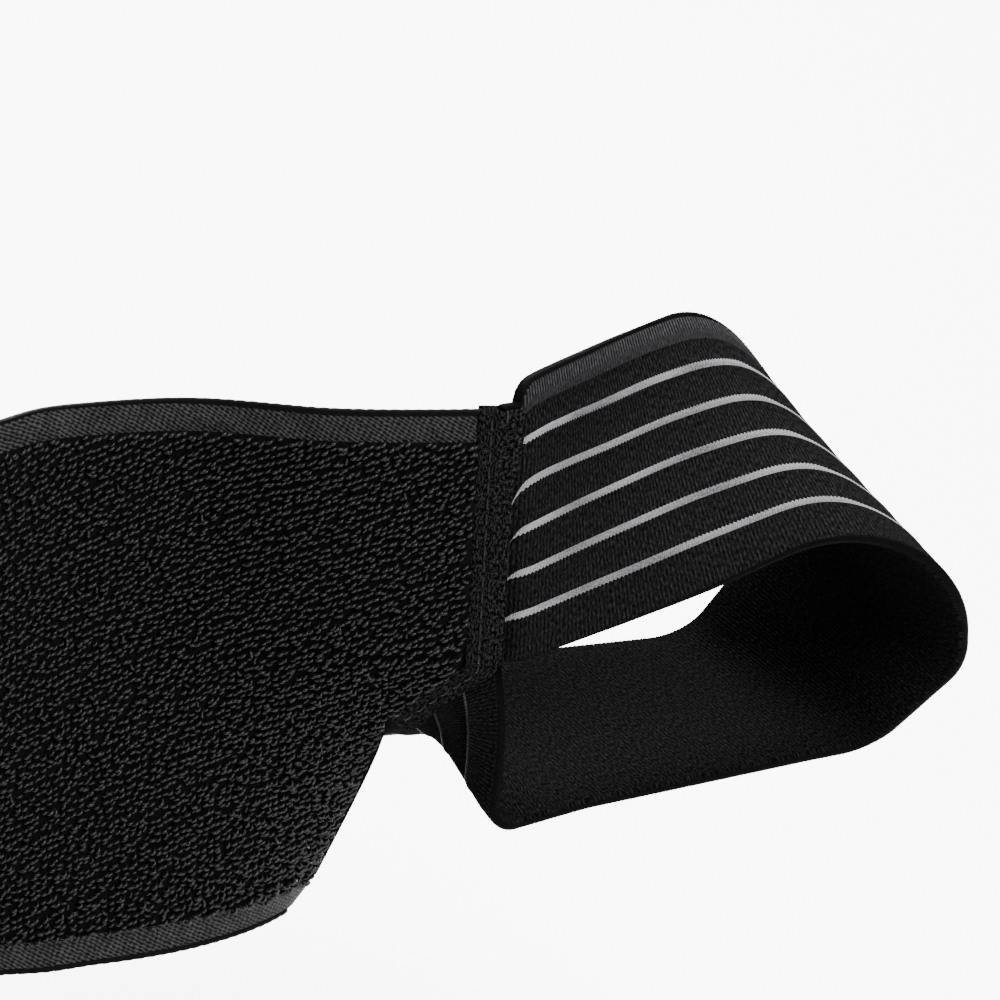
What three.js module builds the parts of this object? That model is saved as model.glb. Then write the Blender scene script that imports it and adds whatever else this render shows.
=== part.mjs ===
// Ankle wrap: a striped elastic foot loop sewn to the end of a broad loop-pile wrap panel.
// Millimetres, +Z up, +X along the panel towards the loop, +Y away from the pile face.
// The origin is the middle of the space inside the foot loop.
import * as THREE from 'three';

// Driving dimensions: the foot loop
const LOOP_TURN = THREE.MathUtils.degToRad(30);
const ELASTIC_THICKNESS = 1.8;
const STRIPE_WIDTH = 1.6;
const STRIPE_RISE = 0.25;
const STRIPE_SLOPE = 0.3;
const EDGE_ROLL = 1.0;
const LOOP_STATIONS = 84;
const BAND_WIDTH = 50;
const WIDTH_KEPT = 0.35;
const STRIPES = [0.2, 0.355, 0.51, 0.665, 0.82];
const INNER_ROWS = [0, 0.125, 0.25, 0.375, 0.5, 0.625, 0.75, 0.875, 1];

// Corners of the loop's two edges in the turned frame of the loop: across the opening, back along it, up.
// The straight stretches between them are taut, and each corner is rounded to its radius.
const REAR_EDGE = [
  { name: 'ridge', across: 21.5, back: 20.9, up: 37, radius: 25.6 },
  { name: 'far_side', across: 40.8, back: 17.8, up: 2.3, radius: 18 },
  { name: 'sole_far', across: 26, back: 37, up: -34, radius: 10 },
  { name: 'sole_near', across: -21, back: 41, up: -29.5, radius: 7 },
];
const FRONT_EDGE = [
  { name: 'ridge', across: 37.1, back: -34.1, up: 22.6, radius: 23.4 },
  { name: 'far_side', across: 41.8, back: -27, up: -15.5, radius: 13 },
  { name: 'sole_far', across: 32, back: -13, up: -34, radius: 10 },
  { name: 'sole_near', across: -37.5, back: -4, up: -36, radius: 5 },
];

// Driving dimensions: the wrap panel, whose run is measured from the seam towards its free end
const SEAM_X = -27;
const SEAM_Y = -21.3;
const PANEL_TOP = 40.6;
const PANEL_WIDTH = 100;
const PANEL_LENGTH = 300;
const PANEL_CORNER = 24;
const PANEL_COLUMNS = 40;
const PANEL_BACK = 0.8;
const SELVAGE_WIDTH = 5.8;
const SELVAGE_FACE = 0.7;
const PILE_FACE = 2;
const PILE_STEP = 0.6;
const ROLLED_EDGE = 1.3;
const ROLLED_FACE = 1.1;

// The lower corner beside the loop rolls back on a cone: flat at CURL_TOP, tightest at the lower edge.
const CURL_START = 68;
const CURL_TOP = 44;
const CURL_RADIUS = 38;
const CURL_POWER = 1.2;

// Sideways sway of the panel along its run, at its top and bottom edges; minus is towards the pile face.
const SWAY = [
  { run: -10, top: -1.9, bottom: -1 },
  { run: 26, top: -2, bottom: -1 },
  { run: 50, top: 2.3, bottom: -0.5 },
  { run: 66, top: 0.5, bottom: -2.4 },
  { run: 74, top: -1.8, bottom: -5.1 },
  { run: 82, top: -7.7, bottom: -6.2 },
  { run: 98, top: -16, bottom: -10.5 },
  { run: 120, top: -21.5, bottom: -15.5 },
  { run: 160, top: -24, bottom: -20 },
  { run: 220, top: -19, bottom: -18 },
  { run: 300, top: -8, bottom: -8 },
];

// Cut end of the panel in the flat: down beside the seam strip, along its slant, then free to the corner
const PANEL_END = [
  { drop: 0, run: 2.6 },
  { drop: 43, run: 5.0 },
  { drop: 47.8, run: 7.0 },
  { drop: 58.5, run: 17.9 },
  { drop: 64, run: 18.5 },
  { drop: 94, run: 24.1 },
  { drop: 97.5, run: 26.3 },
  { drop: 100, run: 30.6 },
];

// Driving dimensions: the seam strip, a flat strip that turns along the slanted part of the cut
const STRIP_WIDTH = 4.6;
const STRIP_FACE = 1.1;
const STRIP_BACK = 0.4;
const STRIP_LINE = [
  { run: 0, drop: 0 },
  { run: 2.4, drop: 47.5 },
  { run: 15.6, drop: 60.3 },
];
const STRIP_CORNER = 5;
const STRIP_STATIONS = 30;

// Driving dimensions: the hook patch on the back of the free end
const HOOK_LENGTH = 34;
const HOOK_WIDTH = 76;
const HOOK_CORNER = 8;
const HOOK_THICKNESS = 1.4;
const HOOK_INSET = 9;
const HOOK_CORNER_ROWS = [0, 0.08, 0.3, 0.6, 1];
const HOOK_COLUMNS = 6;

// Sewn pieces stand this far apart
const GAP = 0.3;

// Where the ends of the elastic lie on the panel: the instep end beside the strip, the sole end behind it
const INSTEP_END = { rear: { run: -3.6, drop: -3 }, front: { run: -1.2, drop: 46.4 } };
const SOLE_END = {
  rear: { run: 36, drop: 71 },
  middle: { run: 16.5, drop: 61 },
  front: { run: 1.6, drop: 50 },
};
const SOLE_BOW_START = 0.86;

// The elastic rises in an arch where it turns up from below; rear is a share of its width,
// and the other places are shares of the loop's length.
const ARCH = { rise: 6.3, rear: 0.17, begins: 0.8, full: 0.875, leaves: 0.885, ends: 0.99 };

// A circular arc that rounds the corner b between a and c
class CornerArc extends THREE.Curve {
  constructor(a, b, c, radius) {
    super();
    const toA = a.clone().sub(b).normalize();
    const toC = c.clone().sub(b).normalize();
    const half = toA.angleTo(toC) / 2;
    this.radius = radius;
    this.sweep = Math.PI - 2 * half;
    this.start = b.clone().addScaledVector(toA, radius / Math.tan(half));
    this.end = b.clone().addScaledVector(toC, radius / Math.tan(half));
    const middle = toA.clone().add(toC).normalize();
    this.centre = b.clone().addScaledVector(middle, radius / Math.sin(half));
    this.axisX = this.start.clone().sub(this.centre).divideScalar(radius);
    this.axisY = toA.negate();
  }

  getPoint(t, target = new THREE.Vector3()) {
    const angle = this.sweep * t;
    return target
      .copy(this.centre)
      .addScaledVector(this.axisX, this.radius * Math.cos(angle))
      .addScaledVector(this.axisY, this.radius * Math.sin(angle));
  }
}

// A path of straight lines through the corners, each inner corner rounded
function roundedPath(corners) {
  const path = new THREE.CurvePath();
  let from = corners[0].point;
  for (let i = 1; i < corners.length - 1; i += 1) {
    const [before, here, after] = corners.slice(i - 1, i + 2);
    const arc = new CornerArc(before.point, here.point, after.point, here.radius);
    path.add(new THREE.LineCurve3(from, arc.start));
    path.add(arc);
    from = arc.end;
  }
  path.add(new THREE.LineCurve3(from, corners.at(-1).point));
  return path;
}

// Smooth values along a table, by its first column
function tableCurve(rows, key, columns) {
  const values = rows.flatMap((row) => columns.map((column) => row[column]));
  const curve = new THREE.CubicInterpolant(rows.map((row) => row[key]), values, columns.length);
  return (at) => Array.from(curve.evaluate(at));
}

// Straight stretches between the rows of a table
function tableLine(rows, key, column) {
  return (at) => {
    const next = rows.findIndex((row) => row[key] >= at);
    if (next <= 0) {
      return rows.at(next)[column];
    }
    const before = rows[next - 1];
    const share = (at - before[key]) / (rows[next][key] - before[key]);
    return THREE.MathUtils.lerp(before[column], rows[next][column], share);
  };
}

const swayAt = tableCurve(SWAY, 'run', ['top', 'bottom']);
const endAt = tableLine(PANEL_END, 'drop', 'run');

// A place on the middle of the panel cloth, from its flat position
function panelMiddle(run, drop) {
  const depth = Math.max(0, (drop - CURL_TOP) / (PANEL_WIDTH - CURL_TOP));
  const curvature = Math.pow(depth, CURL_POWER) / CURL_RADIUS;
  const rolled = CURL_START - run;
  const place = new THREE.Vector3(-run, 0, PANEL_TOP - drop);
  if (rolled > 0 && curvature > 0) {
    place.x = Math.sin(curvature * rolled) / curvature - CURL_START;
    place.y = (1 - Math.cos(curvature * rolled)) / curvature;
  }
  const [top, bottom] = swayAt(run);
  place.x += SEAM_X;
  place.y += SEAM_Y + THREE.MathUtils.lerp(top, bottom, drop / PANEL_WIDTH);
  return place;
}

// The same place lifted out of the cloth, plus towards the pile face
function panelPoint(run, drop, lift) {
  const step = 0.5;
  const along = panelMiddle(run - step, drop).sub(panelMiddle(run + step, drop));
  const down = panelMiddle(run, drop + step).sub(panelMiddle(run, drop - step));
  const face = down.cross(along).normalize();
  return panelMiddle(run, drop).addScaledVector(face, lift);
}

// A closed solid between a front and a back grid of points that share their border
function sheetSolid(front, back) {
  const rows = front.length;
  const columns = front[0].length;
  const points = [...front.flat(), ...back.flat()];
  const faces = [];
  const at = (side, row, column) => (side * rows + row) * columns + column;
  const quad = (a, b, c, d) => faces.push(a, b, c, a, c, d);
  for (let i = 0; i < rows - 1; i += 1) {
    for (let j = 0; j < columns - 1; j += 1) {
      quad(at(0, i, j), at(0, i + 1, j), at(0, i + 1, j + 1), at(0, i, j + 1));
      quad(at(1, i, j), at(1, i, j + 1), at(1, i + 1, j + 1), at(1, i + 1, j));
    }
  }
  for (let i = 0; i < rows - 1; i += 1) {
    const last = columns - 1;
    quad(at(0, i, 0), at(1, i, 0), at(1, i + 1, 0), at(0, i + 1, 0));
    quad(at(0, i, last), at(0, i + 1, last), at(1, i + 1, last), at(1, i, last));
  }
  for (let j = 0; j < columns - 1; j += 1) {
    const last = rows - 1;
    quad(at(0, 0, j), at(0, 0, j + 1), at(1, 0, j + 1), at(1, 0, j));
    quad(at(0, last, j), at(1, last, j), at(1, last, j + 1), at(0, last, j + 1));
  }
  return solidGeometry(points, faces);
}

// A geometry whose faces point out, from points and triples of their indices
function solidGeometry(points, faces) {
  let volume = 0;
  for (let i = 0; i < faces.length; i += 3) {
    const [a, b, c] = [points[faces[i]], points[faces[i + 1]], points[faces[i + 2]]];
    volume += a.dot(b.clone().cross(c));
  }
  const index = volume > 0 ? faces : faces.toReversed();
  const geometry = new THREE.BufferGeometry().setFromPoints(points);
  geometry.setIndex(index);
  geometry.computeVertexNormals();
  return geometry;
}

function cloth(name, geometry, color, roughness) {
  const mesh = new THREE.Mesh(geometry, new THREE.MeshStandardMaterial({ color, roughness, metalness: 0 }));
  mesh.name = name;
  return mesh;
}

// Wrap panel: a pile field between two flat selvages with rolled edges
function panelRows() {
  const upper = [
    { drop: 0, face: SELVAGE_FACE },
    { drop: ROLLED_EDGE / 2, face: ROLLED_FACE },
    { drop: ROLLED_EDGE, face: SELVAGE_FACE },
    { drop: SELVAGE_WIDTH / 2, face: SELVAGE_FACE },
    { drop: SELVAGE_WIDTH, face: SELVAGE_FACE },
    { drop: SELVAGE_WIDTH + PILE_STEP, face: PILE_FACE },
  ];
  const pile = [10, 15, 22, 30, 38, 43, 47.8, 51.4, 55, 58.5, 64, 70, 76, 82, 88].map((drop) => (
    { drop, face: PILE_FACE }));
  const lower = upper.map((row) => ({ drop: PANEL_WIDTH - row.drop, face: row.face })).reverse();
  return [...upper, ...pile, ...lower];
}

// How far a rounded corner stands back from the end, at a distance from the long edge
function cornerInset(distance, radius) {
  const inCorner = Math.max(0, radius - distance);
  return radius - Math.sqrt(radius ** 2 - inCorner ** 2);
}

function freeEndAt(drop) {
  return PANEL_LENGTH - cornerInset(Math.min(drop, PANEL_WIDTH - drop), PANEL_CORNER);
}

function wrapPanel() {
  const side = (lift) => panelRows().map(({ drop, face }) => {
    const first = endAt(drop);
    const last = freeEndAt(drop);
    return Array.from({ length: PANEL_COLUMNS + 1 }, (_, j) => {
      const run = THREE.MathUtils.lerp(first, last, j / PANEL_COLUMNS);
      return panelPoint(run, drop, lift(face));
    });
  });
  const geometry = sheetSolid(side((face) => face), side(() => -PANEL_BACK));
  return cloth('wrap_panel', geometry, 0x141416, 0.95);
}

// Seam strip: flat stitched tape between the panel's cut end and the elastic
function seamStrip() {
  const line = roundedPath(STRIP_LINE.map(({ run, drop }) => (
    { point: new THREE.Vector3(run, drop, 0), radius: STRIP_CORNER })));
  const across = [-0.5, -0.3, 0, 0.3, 0.5];
  const face = [STRIP_FACE * 0.6, STRIP_FACE, STRIP_FACE, STRIP_FACE, STRIP_FACE * 0.6];
  const stations = Array.from({ length: STRIP_STATIONS + 1 }, (_, i) => {
    const t = i / STRIP_STATIONS;
    const centre = line.getPointAt(t);
    const way = line.getTangentAt(t);
    return across.map((share) => (
      { run: centre.x + share * STRIP_WIDTH * way.y, drop: centre.y - share * STRIP_WIDTH * way.x }));
  });
  const side = (lift) => stations.map((row) => row.map(({ run, drop }, j) => panelPoint(run, drop, lift(j))));
  return cloth('seam_strip', sheetSolid(side((j) => face[j]), side(() => -STRIP_BACK)), 0x1c1c1f, 0.9);
}

// Hook patch: a plain rounded patch sewn on the back of the free end
function hookPatch() {
  const middleRun = PANEL_LENGTH - HOOK_INSET - HOOK_LENGTH / 2;
  const top = (PANEL_WIDTH - HOOK_WIDTH) / 2;
  const upper = HOOK_CORNER_ROWS.map((share) => share * HOOK_CORNER);
  const lower = upper.map((distance) => HOOK_WIDTH - distance).reverse();
  const rows = [...upper, HOOK_WIDTH / 2, ...lower].map((down) => {
    const inset = cornerInset(Math.min(down, HOOK_WIDTH - down), HOOK_CORNER);
    return { drop: top + down, half: HOOK_LENGTH / 2 - inset };
  });
  const side = (lift) => rows.map(({ drop, half }) => (
    Array.from({ length: HOOK_COLUMNS + 1 }, (_, j) => {
      const run = middleRun + half * (2 * (j / HOOK_COLUMNS) - 1);
      return panelPoint(run, drop, lift);
    })));
  const inside = -(PANEL_BACK + GAP);
  return cloth('hook_patch', sheetSolid(side(inside), side(inside - HOOK_THICKNESS)), 0x0d0d0e, 0.8);
}

// Foot loop: one elastic strip from the seam over the instep, round the far side and back under the sole
function loopCorner({ across, back, up, radius }) {
  const point = new THREE.Vector3(across, back, up).applyAxisAngle(new THREE.Vector3(0, 0, 1), LOOP_TURN);
  return { point, radius };
}

function loopEdge(table, first, last) {
  return roundedPath([{ point: first }, ...table.map(loopCorner), { point: last }]);
}

function stripeRows(width) {
  const edge = EDGE_ROLL / width;
  const flank = STRIPE_SLOPE / width;
  const half = STRIPE_WIDTH / 2 / width;
  const rows = [{ at: 0, rise: 0 }, { at: edge / 2, rise: STRIPE_RISE }, { at: edge, rise: 0 }];
  for (const centre of STRIPES) {
    rows.push({ at: centre - half - flank, rise: 0 });
    rows.push({ at: centre - half, rise: STRIPE_RISE });
    rows.push({ at: centre + half, rise: STRIPE_RISE });
    rows.push({ at: centre + half + flank, rise: 0 });
  }
  rows.push({ at: 1 - edge, rise: 0 }, { at: 1 - edge / 2, rise: STRIPE_RISE }, { at: 1, rise: 0 });
  return rows;
}

function footLoop() {
  const behind = -(Math.max(PANEL_BACK, STRIP_BACK) + STRIPE_RISE + 2 * GAP);
  const instep = (end) => panelPoint(end.run, end.drop, 0);
  const sole = (end) => panelPoint(end.run, end.drop, behind);
  const rear = loopEdge(REAR_EDGE, instep(INSTEP_END.rear), sole(SOLE_END.rear));
  const front = loopEdge(FRONT_EDGE, instep(INSTEP_END.front), sole(SOLE_END.front));
  const chord = sole(SOLE_END.rear).lerp(sole(SOLE_END.front), 0.5);
  const bow = sole(SOLE_END.middle).sub(chord);

  const { smoothstep } = THREE.MathUtils;
  const archRise = (t, v) => {
    const across = Math.max(0, (v - ARCH.rear) / (1 - ARCH.rear));
    const along = smoothstep(t, ARCH.begins, ARCH.full) * (1 - smoothstep(t, ARCH.leaves, ARCH.ends));
    return ARCH.rise * Math.sin(Math.PI * across) ** 2 * along;
  };

  // The outer face of the elastic: t runs round the loop and v from its rear edge to its front edge
  const surface = (t, v) => {
    const over = front.getPointAt(t).sub(rear.getPointAt(t));
    const width = THREE.MathUtils.lerp(over.length(), BAND_WIDTH, WIDTH_KEPT);
    const middle = rear.getPointAt(t).lerp(front.getPointAt(t), 0.5);
    const place = middle.addScaledVector(over.normalize(), (v - 0.5) * width);
    place.z += archRise(t, v);
    const sewn = smoothstep(t, SOLE_BOW_START, 1);
    return place.addScaledVector(bow, 4 * v * (1 - v) * sewn);
  };
  const point = (t, v, lift) => {
    const step = 0.002;
    const along = surface(Math.min(1, t + step), v).sub(surface(Math.max(0, t - step), v));
    const over = surface(t, Math.min(1, v + step)).sub(surface(t, Math.max(0, v - step)));
    const out = over.cross(along).normalize();
    return surface(t, v).addScaledVector(out, lift);
  };

  const outerRows = stripeRows(rear.getPointAt(0).distanceTo(front.getPointAt(0)));
  const points = [];
  const outer = [];
  const inner = [];
  for (let i = 0; i <= LOOP_STATIONS; i += 1) {
    const t = i / LOOP_STATIONS;
    outer.push(outerRows.map(({ at, rise }) => points.push(point(t, at, rise)) - 1));
    inner.push(INNER_ROWS.map((at) => points.push(point(t, at, -ELASTIC_THICKNESS)) - 1));
  }
  const faces = [];
  const quad = (a, b, c, d) => faces.push(a, b, c, a, c, d);
  for (let i = 0; i < LOOP_STATIONS; i += 1) {
    for (let j = 0; j < outerRows.length - 1; j += 1) {
      quad(outer[i][j], outer[i + 1][j], outer[i + 1][j + 1], outer[i][j + 1]);
    }
    for (let j = 0; j < INNER_ROWS.length - 1; j += 1) {
      quad(inner[i][j], inner[i][j + 1], inner[i + 1][j + 1], inner[i + 1][j]);
    }
    quad(outer[i][0], inner[i][0], inner[i + 1][0], outer[i + 1][0]);
    quad(outer[i].at(-1), outer[i + 1].at(-1), inner[i + 1].at(-1), inner[i].at(-1));
  }
  const cap = (station, flip) => {
    let [j, k] = [0, 0];
    while (j < outerRows.length - 1 || k < INNER_ROWS.length - 1) {
      const nextOuter = j < outerRows.length - 1 ? outerRows[j + 1].at : Infinity;
      const nextInner = k < INNER_ROWS.length - 1 ? INNER_ROWS[k + 1] : Infinity;
      const face = [outer[station][j], 0, inner[station][k]];
      if (nextOuter <= nextInner) {
        j += 1;
        face[1] = outer[station][j];
      } else {
        k += 1;
        face[1] = inner[station][k];
      }
      faces.push(...(flip ? face.reverse() : face));
    }
  };
  cap(0, false);
  cap(LOOP_STATIONS, true);
  return cloth('foot_loop', solidGeometry(points, faces), 0x19191c, 0.85);
}

const wrap = new THREE.Group();
wrap.add(footLoop(), wrapPanel(), seamStrip(), hookPatch());
export default wrap;
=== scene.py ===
"""Ankle wrap: a striped elastic foot loop sewn to a broad loop-pile panel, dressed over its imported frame."""
import math
from collections import namedtuple

import bmesh
import bpy
import numpy as np
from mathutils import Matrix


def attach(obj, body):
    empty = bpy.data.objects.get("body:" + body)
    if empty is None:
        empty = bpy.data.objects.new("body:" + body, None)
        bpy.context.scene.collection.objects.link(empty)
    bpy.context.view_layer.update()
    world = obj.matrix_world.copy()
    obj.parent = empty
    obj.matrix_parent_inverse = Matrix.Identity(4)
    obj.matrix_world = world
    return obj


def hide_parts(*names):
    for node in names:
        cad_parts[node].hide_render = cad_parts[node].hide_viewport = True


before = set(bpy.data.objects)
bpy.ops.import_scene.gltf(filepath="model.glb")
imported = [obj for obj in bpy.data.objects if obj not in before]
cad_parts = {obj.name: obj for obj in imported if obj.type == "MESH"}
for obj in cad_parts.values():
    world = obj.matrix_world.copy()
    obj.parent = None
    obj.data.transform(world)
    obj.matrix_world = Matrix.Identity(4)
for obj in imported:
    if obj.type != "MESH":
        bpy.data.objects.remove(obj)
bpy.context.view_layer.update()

# Sizes below are in millimetres, and the scene is in metres
MM = 0.001
BODY = "root"
SEED = 11

# The foot loop: corners of its two edges as across, back, up and radius, in the turned frame of the loop
LOOP_TURN = math.radians(30)
REAR_EDGE = [(21.5, 20.9, 37, 25.6), (40.8, 17.8, 2.3, 18), (26, 37, -34, 10), (-21, 41, -29.5, 7)]
FRONT_EDGE = [(37.1, -34.1, 22.6, 23.4), (41.8, -27, -15.5, 13), (32, -13, -34, 10), (-37.5, -4, -36, 5)]
BAND_WIDTH = 50
WIDTH_KEPT = 0.35
ELASTIC_THICKNESS = 1.8
STRIPES = [10, 17.75, 25.5, 33.25, 41]
STRIPE_WIDTH = 1.4
STRIPE_RISE = 0.22
RIB_PITCH = 0.75
RIB_RISE = 0.085
RIB_SAMPLES = 6
TOOTH = 0.25
TEETH_CROSS = (18, 46)
BAND_EDGE = 0.8
SELVAGE_RIBBED = 3.3
BAND_SELVAGE = 5.0

# How the elastic leaves the seam: it dips behind the strip, bulges, and its upper corner is drawn down
START_TUCK = 2.4
START_LIFT = [(-2.4, -1.3), (-1.2, -0.7), (0, 0.1), (1.2, 0.9), (3, 1.3), (7, 1.2), (16, 0.6), (40, 0)]
START_SHOWS = 0.8
START_PULL = [0, 2.0, 3.8, 2.0, 0.8, 0.8, 0]
START_REACH = 1.2
START_SHIFT = [-0.9, -1.5, -1.2, -0.3, 0, 0, 0]
START_FADE = [(0, 1), (4, 1), (12, 0.4), (21, -0.2), (32, -0.4), (43, -0.35), (55, 0), (70, 0)]
CORNER_ROUND = 3.5
STRIPE_TAPER = 2.4
STRIPE_POINTED = [0.5, 0.9, 0.9, 0.55, 0.35]
# Near the seam the stripes carry a painted highlight: full up to 3 mm round the loop and gone by 14 mm
START_HIGHLIGHT = (14, 3)

# Over the crown of the loop the stripes are drawn forward between the two edges
CROWN_AT = 51
CROWN_REACH = 10
CROWN_SHIFT = [0, 0.4, 1.05, 1.05, 1.05, 1.0, 0.8, 0]

# Past the crown the stripes are narrow and taut, each a little further round than the one behind it, and there
# their colour is brightened as a painted highlight
TAUT_SLANT = 0.19
TAUT_BEGINS = (56, 61.5)
TAUT_ENDS = (88, 76)
TAUT_NARROWED = 0.42

# The wrap panel: run is measured from the seam towards the free end, drop from the top edge down
SEAM_X = -27
SEAM_Y = -21.3
PANEL_TOP = 40.6
PANEL_WIDTH = 100
PANEL_LENGTH = 300
PANEL_CORNER = 24
PANEL_BACK = 0.8
PANEL_COLUMNS = 160
CURL_START = 68
CURL_TOP = 44
CURL_RADIUS = 38
CURL_POWER = 1.2
SWAY_RUN = [-10, 26, 50, 66, 74, 82, 98, 120, 160, 220, 300]
SWAY_TOP = [-1.9, -2, 2.3, 0.5, -1.8, -7.7, -16, -21.5, -24, -19, -8]
SWAY_BOTTOM = [-1, -1, -0.5, -2.4, -5.1, -6.2, -10.5, -15.5, -20, -18, -8]
END_DROP = [0, 43, 47.8, 58.5, 64, 94, 97.5, 100]
END_RUN = [2.6, 5.0, 7.0, 17.9, 18.5, 24.1, 26.3, 30.6]
SELVAGE_WIDTH = 5.8
SELVAGE_FACE = 0.7
ROLLED_EDGE = 1.3
ROLLED_LIFT = 0.35
EDGE_STATIONS = 640
EDGE_TICK_PITCH = 1.9
EDGE_TICK = 0.1
EDGE_THINS = (35, 75)
EDGE_THINNED = 0.45
GROUND_FACE = 1.0

# The pile: loops of yarn on a slanting lattice, each pair being right and up
PILE_ROW = (0.98, 0.32)
PILE_STEP = (0, -1.31)
PILE_SPAN = 1.4
PILE_RISE = 26
PILE_HEIGHT = 0.85
PILE_YARN = 0.28
PILE_RINGS = 4
PILE_SIDES = 4
PILE_MARGIN = -0.1
PILE_PIECES = 4
PILE_STRAY_RUN = 0.22
PILE_STRAY_DROP = 0.2
PILE_TURN = 9
PILE_SAG = 0.18
SPAN_UNEVEN = 0.1
HEIGHT_UNEVEN = 0.2
YARN_UNEVEN = 0.12
STRAY_SHARE = 0.05
STRAY_TURN = 40
STRAY_HEIGHT = 0.2

# Beside the free cut the loops are pressed flat
CUT_REACH = 6
CUT_HEIGHT = 0.35

# The seam strip
STRIP_LINE = [(0, 0), (2.4, 47.5), (15.6, 60.3)]
STRIP_CORNER = 5
STRIP_BEGINS = 0.005
STRIP_STATIONS = 160
STRIP_LUMPS = [(0.1, 61, 0), (0.07, 137, 1)]

# The strip's section: offsets from its middle, plus towards the pile, and lifts,
# with a ridge where each layer of the seam is turned
STRIP_SECTION = [
    (-2.3, 0.1), (-2.2, 0.55), (-1.8, 0.8), (-1.6, 0.95), (-1.4, 0.8), (-0.3, 0.9), (0.1, 0.95),
    (0.35, 1.3), (0.6, 1.0), (1.6, 1.25), (2.5, 1.35), (3.2, 1.2), (3.5, 0.85), (3.3, 0.5),
    (2.5, 0.3), (2.5, -0.7), (3.2, -0.85), (3.4, -1.1), (3, -1.3), (0.6, -1.4), (-1, -1.45),
    (-2.3, -0.75),
]

# How much wider it is over the elastic, and the shares of its length where that begins or ends
STRIP_WIDER = 0.2
STRIP_WIDER_ENDS = (0.6, 0.75)
STRIP_WIDE_TOP = 0.65
STRIP_TOP_ENDS = (0.05, 0.26)
STRIP_WIDE_TAIL = 0.5
STRIP_TAIL_BEGINS = (0.88, 0.97)

# The hook patch, the sewing and the ends of the elastic
RIDGE_OFFSET = 1.25
RIDGE_LIFT = 1.3
HOOK_LENGTH = 34
HOOK_WIDTH = 76
HOOK_CORNER = 8
HOOK_THICKNESS = 1.0
HOOK_INSET = 9
HOOK_PITCH = 1.55
HOOK_BORDER = 3.6
HOOK_SEWN = 2.0
HOOK_RINGS = (1.2, 3, 5, 7)
HOOK_SHAPE = [(0, -0.3), (0, 0.35), (0.05, 0.62), (0.25, 0.8), (0.48, 0.72), (0.52, 0.52)]
HOOK_STRAY = 0.08
HOOK_YARN = 0.13
HOOK_MIDDLE = (PANEL_LENGTH - HOOK_INSET - HOOK_LENGTH / 2, PANEL_WIDTH / 2)
SOLE_SEWN = (3.0, 7.0)
FREE_END_SEWN = 3.2
FREE_END_CLEAR = 7
GAP = 0.3
TUBE_SIDES = 5
INSTEP_END = {"rear": (-3.6, -3), "front": (-1.2, 46.4)}
SOLE_END = {"rear": (36, 71), "middle": (16.5, 61), "front": (1.6, 50)}
SOLE_LIFT = -1.65
SOLE_BOW_START = 0.86
SOLE_TUCK = 2.6
SOLE_NARROWED = 0.6
# Painted shade: over the sole end the stripes' colour is darkened, least across the band where the strap turns
# up into view, and almost to black elsewhere
SOLE_SHADE = 0.52
SOLE_DEEPER_SHADE = 0.4
SOLE_SHOWN = (22, 41)

# The elastic rises in an arch where it turns up from below
ARCH_RISE = 6.3
ARCH_REAR = 0.17
ARCH_BEGINS = (0.8, 0.875)
ARCH_ENDS = (0.885, 0.99)

# The view: the seam's lower end in a frame of 1000 pixels, at a scale in pixels per millimetre
FRAME_PIXELS = 1000
PIXELS_PER_MM = 6.2
SEAM_PIXEL_Y = 664
SEAM_PIXEL_Z = -6
VIEW_ELEVATION = math.radians(25)
CAMERA_DISTANCE = 2500
SENSOR = 36
FLOOR_DROP = 150
FLOOR_REACH = 6000

# Lights in metres and watts: name, place, target, size and power
LIGHTS = [
    ("key", (0.5, -0.7, 0.9), (-0.04, -0.01, 0), 0.5, 85),
    ("top", (-0.1, 0.25, 1.1), (-0.04, -0.01, 0), 0.8, 75),
    ("back", (-0.2, 0.95, 0.75), (-0.1, 0.2, -0.1), 0.7, 60),
]
AMBIENT = 0.75


# Small geometry

def unit(vectors):
    return vectors / np.linalg.norm(vectors, axis=-1, keepdims=True)


def smoothstep(value, low, high):
    share = np.clip((value - low) / (high - low), 0, 1)
    return share * share * (3 - 2 * share)


def table_curve(at, keys, values):
    """Smooth values along a table: a cubic whose slope at a row is the mean of the stretches beside it."""
    keys, values = np.array(keys, float), np.array(values, float)
    slopes = np.diff(values) / np.diff(keys)
    tangents = np.concatenate([slopes[:1], (slopes[1:] + slopes[:-1]) / 2, slopes[-1:]])
    at = np.clip(at, keys[0], keys[-1])
    i = np.clip(np.searchsorted(keys, at, side="right") - 1, 0, len(keys) - 2)
    span = keys[i + 1] - keys[i]
    p = (at - keys[i]) / span
    q = 1 - p
    start = q * q * ((1 + 2 * p) * values[i] + p * span * tangents[i])
    return start + p * p * ((1 + 2 * q) * values[i + 1] - q * span * tangents[i + 1])


def rounded_path(corners, arc_points=33):
    """Points along straight lines through (point, radius) corners, each inner corner an arc."""
    points = [np.array(corners[0][0], float)]
    for (before, _), (corner, radius), (after, _) in zip(corners, corners[1:], corners[2:]):
        corner = np.array(corner, float)
        to_before = unit(np.array(before, float) - corner)
        to_after = unit(np.array(after, float) - corner)
        half = math.acos(float(to_before @ to_after)) / 2
        start = corner + to_before * radius / math.tan(half)
        centre = corner + unit(to_before + to_after) * radius / math.sin(half)
        angles = np.linspace(0, math.pi - 2 * half, arc_points)[:, None]
        points.extend(centre + (start - centre) * np.cos(angles) - to_before * radius * np.sin(angles))
    points.append(np.array(corners[-1][0], float))
    return np.array(points)


def path_length(path):
    return np.concatenate([[0], np.cumsum(np.linalg.norm(np.diff(path, axis=0), axis=1))])


def path_point(path, share):
    """Places at shares of the path's length; below 0 it runs straight on."""
    lengths = path_length(path)
    at = np.asarray(share, float) * lengths[-1]
    place = np.stack([np.interp(at, lengths, column) for column in path.T], axis=-1)
    return place + np.minimum(at, 0)[..., None] * unit(path[1] - path[0])


# Mesh making

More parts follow.
